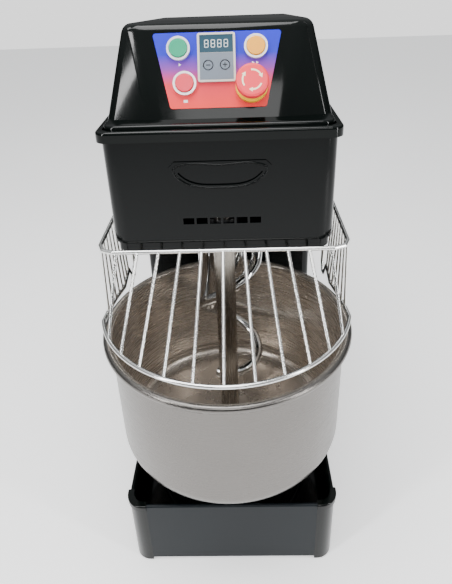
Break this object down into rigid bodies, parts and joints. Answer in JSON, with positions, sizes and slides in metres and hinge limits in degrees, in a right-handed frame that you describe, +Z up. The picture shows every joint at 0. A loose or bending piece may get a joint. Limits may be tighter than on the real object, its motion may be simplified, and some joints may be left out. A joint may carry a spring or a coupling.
{
  "type": "spiral dough mixer",
  "caption": "Floor or bench spiral dough mixer with a turning stainless bowl, spiral hook, breaker bar, hinged wire guard, tilted control panel and enclosed belt-and-chain drive.",
  "frame": {"origin": "on the floor, under the centre of the machine's bounding box", "axes": "+Z up, -Y towards the operator in front of the bowl, +X to the operator's right"},
  "size_m": [0.374, 0.713, 0.8105],
  "materials": {
    "gloss_coat": "glossy powder coat",
    "satin_coat": "satin powder coat",
    "moulded_black": "glossy moulded",
    "stainless": "spun and brushed",
    "polished": "polished stainless",
    "plain_steel": "machined",
    "bearing_steel": "ground",
    "iron": "painted casting",
    "motor_grey": "painted die casting",
    "rubber": "matt",
    "belt_rubber": "matt",
    "nylon_black": "moulded",
    "nylon_grey": "moulded",
    "bezel_metal": "bright plated",
    "printed_panel": "printed sheet",
    "red_plastic": "moulded",
    "green_plastic": "moulded",
    "amber_plastic": "moulded",
    "yellow_plastic": "moulded",
    "timer_frame": "moulded",
    "dark_lens": "smoked",
    "key_grey": "membrane"
  },
  "bodies": {
    "machine_frame": {"base_corner_posts": "moulded_black", "base_frame": "plain_steel", "base_front_panel": "satin_coat", "base_walls": "gloss_coat", "bowl_bearing_housing": "iron", "breaker_bar": "polished", "breaker_clamp": "plain_steel", "button_bezels": "bezel_metal", "cable_gland": "nylon_black", "column_shell": "gloss_coat", "contact_blocks": "nylon_grey", "control_panel": "printed_panel", "control_tray": "plain_steel", "countershaft_bearings": "iron", "countershaft_brackets": "plain_steel", "estop_base": "yellow_plastic", "guard_pins": "plain_steel", "head_casing": "gloss_coat", "head_lip": "moulded_black", "head_tray": "gloss_coat", "lower_chain": "plain_steel", "motor_body": "motor_grey", "motor_covers": "motor_grey", "motor_plate": "plain_steel", "rear_cover": "satin_coat", "rear_cover_screws": "plain_steel", "rubber_feet": "rubber", "shaft_bearings": "bearing_steel", "shaft_seals": "rubber", "spindle_housing": "iron", "switchgear": "nylon_grey", "timer_housing": "timer_frame", "timer_lens": "dark_lens", "top_cover": "moulded_black", "tray_deck": "gloss_coat", "upper_chain": "plain_steel", "v_belts": "belt_rubber"},
    "bowl_unit": {"bowl": "stainless", "bowl_boss": "stainless", "bowl_turntable": "plain_steel", "turntable_bolts": "plain_steel", "bowl_sprocket": "plain_steel"},
    "spindle_unit": {"spiral_hook": "polished", "hook_clamp_bolt": "plain_steel", "spindle_shaft": "plain_steel", "driven_pulley": "iron", "spindle_sprocket_and_nut": "plain_steel"},
    "countershaft_unit": {"countershaft": "plain_steel"},
    "motor_rotor": {"motor_pulley": "iron"},
    "guard": {"guard_top_wire": "polished", "guard_lower_wire": "polished", "guard_bars": "polished", "guard_eyes": "polished"},
    "slow_push": {"start_slow_button": "green_plastic"},
    "fast_push": {"start_fast_button": "amber_plastic"},
    "stop_push": {"stop_button": "red_plastic"},
    "estop_push": {"estop_plunger": "nylon_grey"},
    "estop_head": {"estop_mushroom": "red_plastic"},
    "minus_push": {"timer_minus_key": "key_grey"},
    "plus_push": {"timer_plus_key": "key_grey"}
  },
  "joints": [
    {"name": "bowl_spin", "type": "hinge", "parent": "machine_frame", "child": "bowl_unit", "pos_m": [0, -0.1695, 0.3], "axis": [0, 0, 1], "continuous": true},
    {"name": "hook_spin", "type": "hinge", "parent": "machine_frame", "child": "spindle_unit", "pos_m": [0, -0.0635, 0.3], "axis": [0, 0, 1], "continuous": true},
    {"name": "countershaft_spin", "type": "hinge", "parent": "machine_frame", "child": "countershaft_unit", "pos_m": [0, 0.1005, 0.3], "axis": [0, 0, 1], "continuous": true},
    {"name": "motor_spin", "type": "hinge", "parent": "machine_frame", "child": "motor_rotor", "pos_m": [0, 0.2205, 0.3], "axis": [0, 0, 1], "continuous": true},
    {"name": "guard_hinge", "type": "hinge", "parent": "machine_frame", "child": "guard", "pos_m": [0, 0.0305, 0.63], "axis": [-1, 0, 0], "range_deg": [0, 80]},
    {"name": "slow_press", "type": "slide", "parent": "machine_frame", "child": "slow_push", "axis": [0, 0.9072, -0.4206], "range_m": [0, 0.0025], "stiffness_N_per_m": 400, "springref_m": -0.002},
    {"name": "fast_press", "type": "slide", "parent": "machine_frame", "child": "fast_push", "axis": [0, 0.9072, -0.4206], "range_m": [0, 0.0025], "stiffness_N_per_m": 400, "springref_m": -0.002},
    {"name": "stop_press", "type": "slide", "parent": "machine_frame", "child": "stop_push", "axis": [0, 0.9072, -0.4206], "range_m": [0, 0.0025], "stiffness_N_per_m": 400, "springref_m": -0.002},
    {"name": "estop_press", "type": "slide", "parent": "machine_frame", "child": "estop_push", "axis": [0, 0.9072, -0.4206], "range_m": [0, 0.004], "stiffness_N_per_m": 400, "springref_m": -0.002},
    {"name": "estop_twist", "type": "hinge", "parent": "estop_push", "child": "estop_head", "pos_m": [0.0423, -0.17973, 0.74809], "axis": [0, -0.9072, 0.4206], "range_deg": [-30, 0], "stiffness_Nm_per_rad": 0.02},
    {"name": "minus_press", "type": "slide", "parent": "machine_frame", "child": "minus_push", "axis": [0, 0.9072, -0.4206], "range_m": [0, 0.0006], "stiffness_N_per_m": 400, "springref_m": -0.002},
    {"name": "plus_press", "type": "slide", "parent": "machine_frame", "child": "plus_push", "axis": [0, 0.9072, -0.4206], "range_m": [0, 0.0006], "stiffness_N_per_m": 400, "springref_m": -0.002}
  ],
  "couplings": [
    {"joint": "hook_spin", "follows": "bowl_spin", "ratio": 10},
    {"joint": "countershaft_spin", "follows": "bowl_spin", "ratio": 3.3333},
    {"joint": "motor_spin", "follows": "bowl_spin", "ratio": 60.5}
  ]
}
